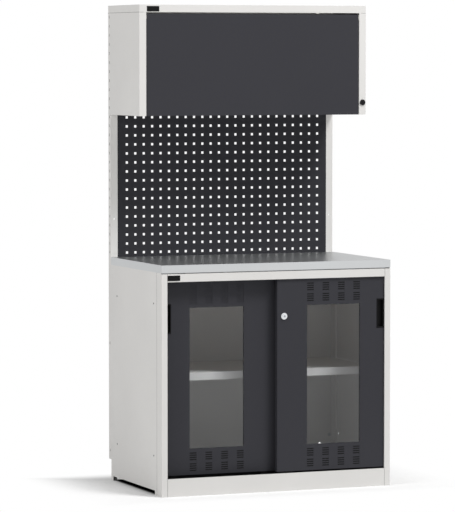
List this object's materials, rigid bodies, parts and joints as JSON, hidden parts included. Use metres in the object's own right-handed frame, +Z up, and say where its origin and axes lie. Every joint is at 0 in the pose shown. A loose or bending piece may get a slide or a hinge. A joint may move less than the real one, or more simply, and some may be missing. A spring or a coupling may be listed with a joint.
{
  "type": "workshop cabinet with sliding doors",
  "caption": "Steel workstation cabinet: sliding glazed doors below a worktop, perforated tool panel on uprights, and an overhead cabinet with a lift-up flap.",
  "frame": {"origin": "on the floor, under the middle of the unit's width and depth", "axes": "+X to the right seen from the front, +Y to the back, +Z up"},
  "size_m": [1.018, 0.627, 2],
  "materials": {
    "carcass_paint": "light grey powder coat, fine texture",
    "door_paint": "anthracite powder coat, fine texture",
    "panel_paint": "dark anthracite powder coat",
    "worktop_sheet": "smooth grey steel cover, satin",
    "board": "raw chipboard",
    "window": "clear grey-tinted pane",
    "black_plastic": "black moulded plastic",
    "black_metal": "black satin",
    "zinc": "bright zinc plate",
    "nylon": "natural nylon",
    "rubber": "black rubber",
    "chrome": "polished chrome"
  },
  "bodies": {
    "frame": {"left_front_post": "carcass_paint", "right_front_post": "carcass_paint", "left_side_panel": "carcass_paint", "right_side_panel": "carcass_paint", "top_front_rail": "carcass_paint", "plinth_rail": "carcass_paint", "base_floor": "carcass_paint", "base_back_panel": "carcass_paint", "top_rear_rail": "carcass_paint", "left_shelf_standards": "carcass_paint", "right_shelf_standards": "carcass_paint", "shelf": "carcass_paint", "left_upright": "carcass_paint", "right_upright": "carcass_paint", "overhead_left_side": "carcass_paint", "overhead_right_side": "carcass_paint", "overhead_top_cap": "carcass_paint", "overhead_back": "carcass_paint", "overhead_floor": "carcass_paint", "tool_panel": "panel_paint", "worktop_cover": "worktop_sheet", "worktop_core": "board", "door_bottom_guide": "black_plastic", "flap_lock_body": "black_metal", "door_top_track": "zinc", "shelf_clips": "zinc", "upright_bolts": "zinc", "overhead_bolts": "zinc", "flap_bushes": "nylon", "track_stops": "rubber", "flap_buffers": "rubber"},
    "left_door": {"left_door_panel": "door_paint", "left_door_window": "window", "left_window_retainer": "door_paint", "left_door_handle": "black_plastic", "left_door_hangers": "zinc", "left_door_shoes": "black_plastic", "lock_keeper": "zinc"},
    "right_door": {"right_door_panel": "door_paint", "right_door_window": "window", "right_window_retainer": "door_paint", "right_door_handle": "black_plastic", "right_door_hangers": "zinc", "right_door_shoes": "black_plastic", "door_lock_body": "chrome", "door_lock_clip": "zinc"},
    "left_outer_roller": {"left_outer_roller": "nylon"},
    "left_inner_roller": {"left_inner_roller": "nylon"},
    "right_outer_roller": {"right_outer_roller": "nylon"},
    "right_inner_roller": {"right_inner_roller": "nylon"},
    "lock_plunger": {"door_lock_plunger": "chrome"},
    "key_plug": {"door_key_plug": "zinc"},
    "flap": {"flap_panel": "door_paint"},
    "flap_cam": {"flap_lock_cam": "black_metal"}
  },
  "joints": [
    {"name": "left_door_slide", "type": "slide", "parent": "frame", "child": "left_door", "axis": [1, 0, 0], "range_m": [0, 0.47]},
    {"name": "right_door_slide", "type": "slide", "parent": "frame", "child": "right_door", "axis": [1, 0, 0], "range_m": [-0.49, 0]},
    {"name": "left_outer_roller_spin", "type": "hinge", "parent": "left_door", "child": "left_outer_roller", "pos_m": [-0.4355, -0.2525, 0.8988], "axis": [0, 1, 0], "range_deg": [0, 2994]},
    {"name": "left_inner_roller_spin", "type": "hinge", "parent": "left_door", "child": "left_inner_roller", "pos_m": [-0.038, -0.2525, 0.8988], "axis": [0, 1, 0], "range_deg": [0, 2994]},
    {"name": "right_outer_roller_spin", "type": "hinge", "parent": "right_door", "child": "right_outer_roller", "pos_m": [0.4355, -0.2925, 0.8988], "axis": [0, 1, 0], "range_deg": [-3121, 0]},
    {"name": "right_inner_roller_spin", "type": "hinge", "parent": "right_door", "child": "right_inner_roller", "pos_m": [0.062, -0.2925, 0.8988], "axis": [0, 1, 0], "range_deg": [-3121, 0]},
    {"name": "flap_lift", "type": "hinge", "parent": "frame", "child": "flap", "pos_m": [0, -0.0475, 1.951], "axis": [-1, 0, 0], "range_deg": [0, 90]},
    {"name": "flap_lock_turn", "type": "hinge", "parent": "frame", "child": "flap_cam", "pos_m": [0.494, -0.0505, 1.594], "axis": [0, 1, 0], "range_deg": [0, 90]},
    {"name": "lock_push", "type": "slide", "parent": "right_door", "child": "lock_plunger", "axis": [0, 1, 0], "range_m": [0, 0.007], "stiffness_N_per_m": 400},
    {"name": "key_turn", "type": "hinge", "parent": "lock_plunger", "child": "key_plug", "pos_m": [0.032, -0.306, 0.722], "axis": [0, 1, 0], "range_deg": [0, 90]}
  ],
  "couplings": [
    {"joint": "left_outer_roller_spin", "follows": "left_door_slide", "rad_per_m": 111.11},
    {"joint": "left_inner_roller_spin", "follows": "left_door_slide", "rad_per_m": 111.11},
    {"joint": "right_outer_roller_spin", "follows": "right_door_slide", "rad_per_m": 111.11},
    {"joint": "right_inner_roller_spin", "follows": "right_door_slide", "rad_per_m": 111.11}
  ]
}
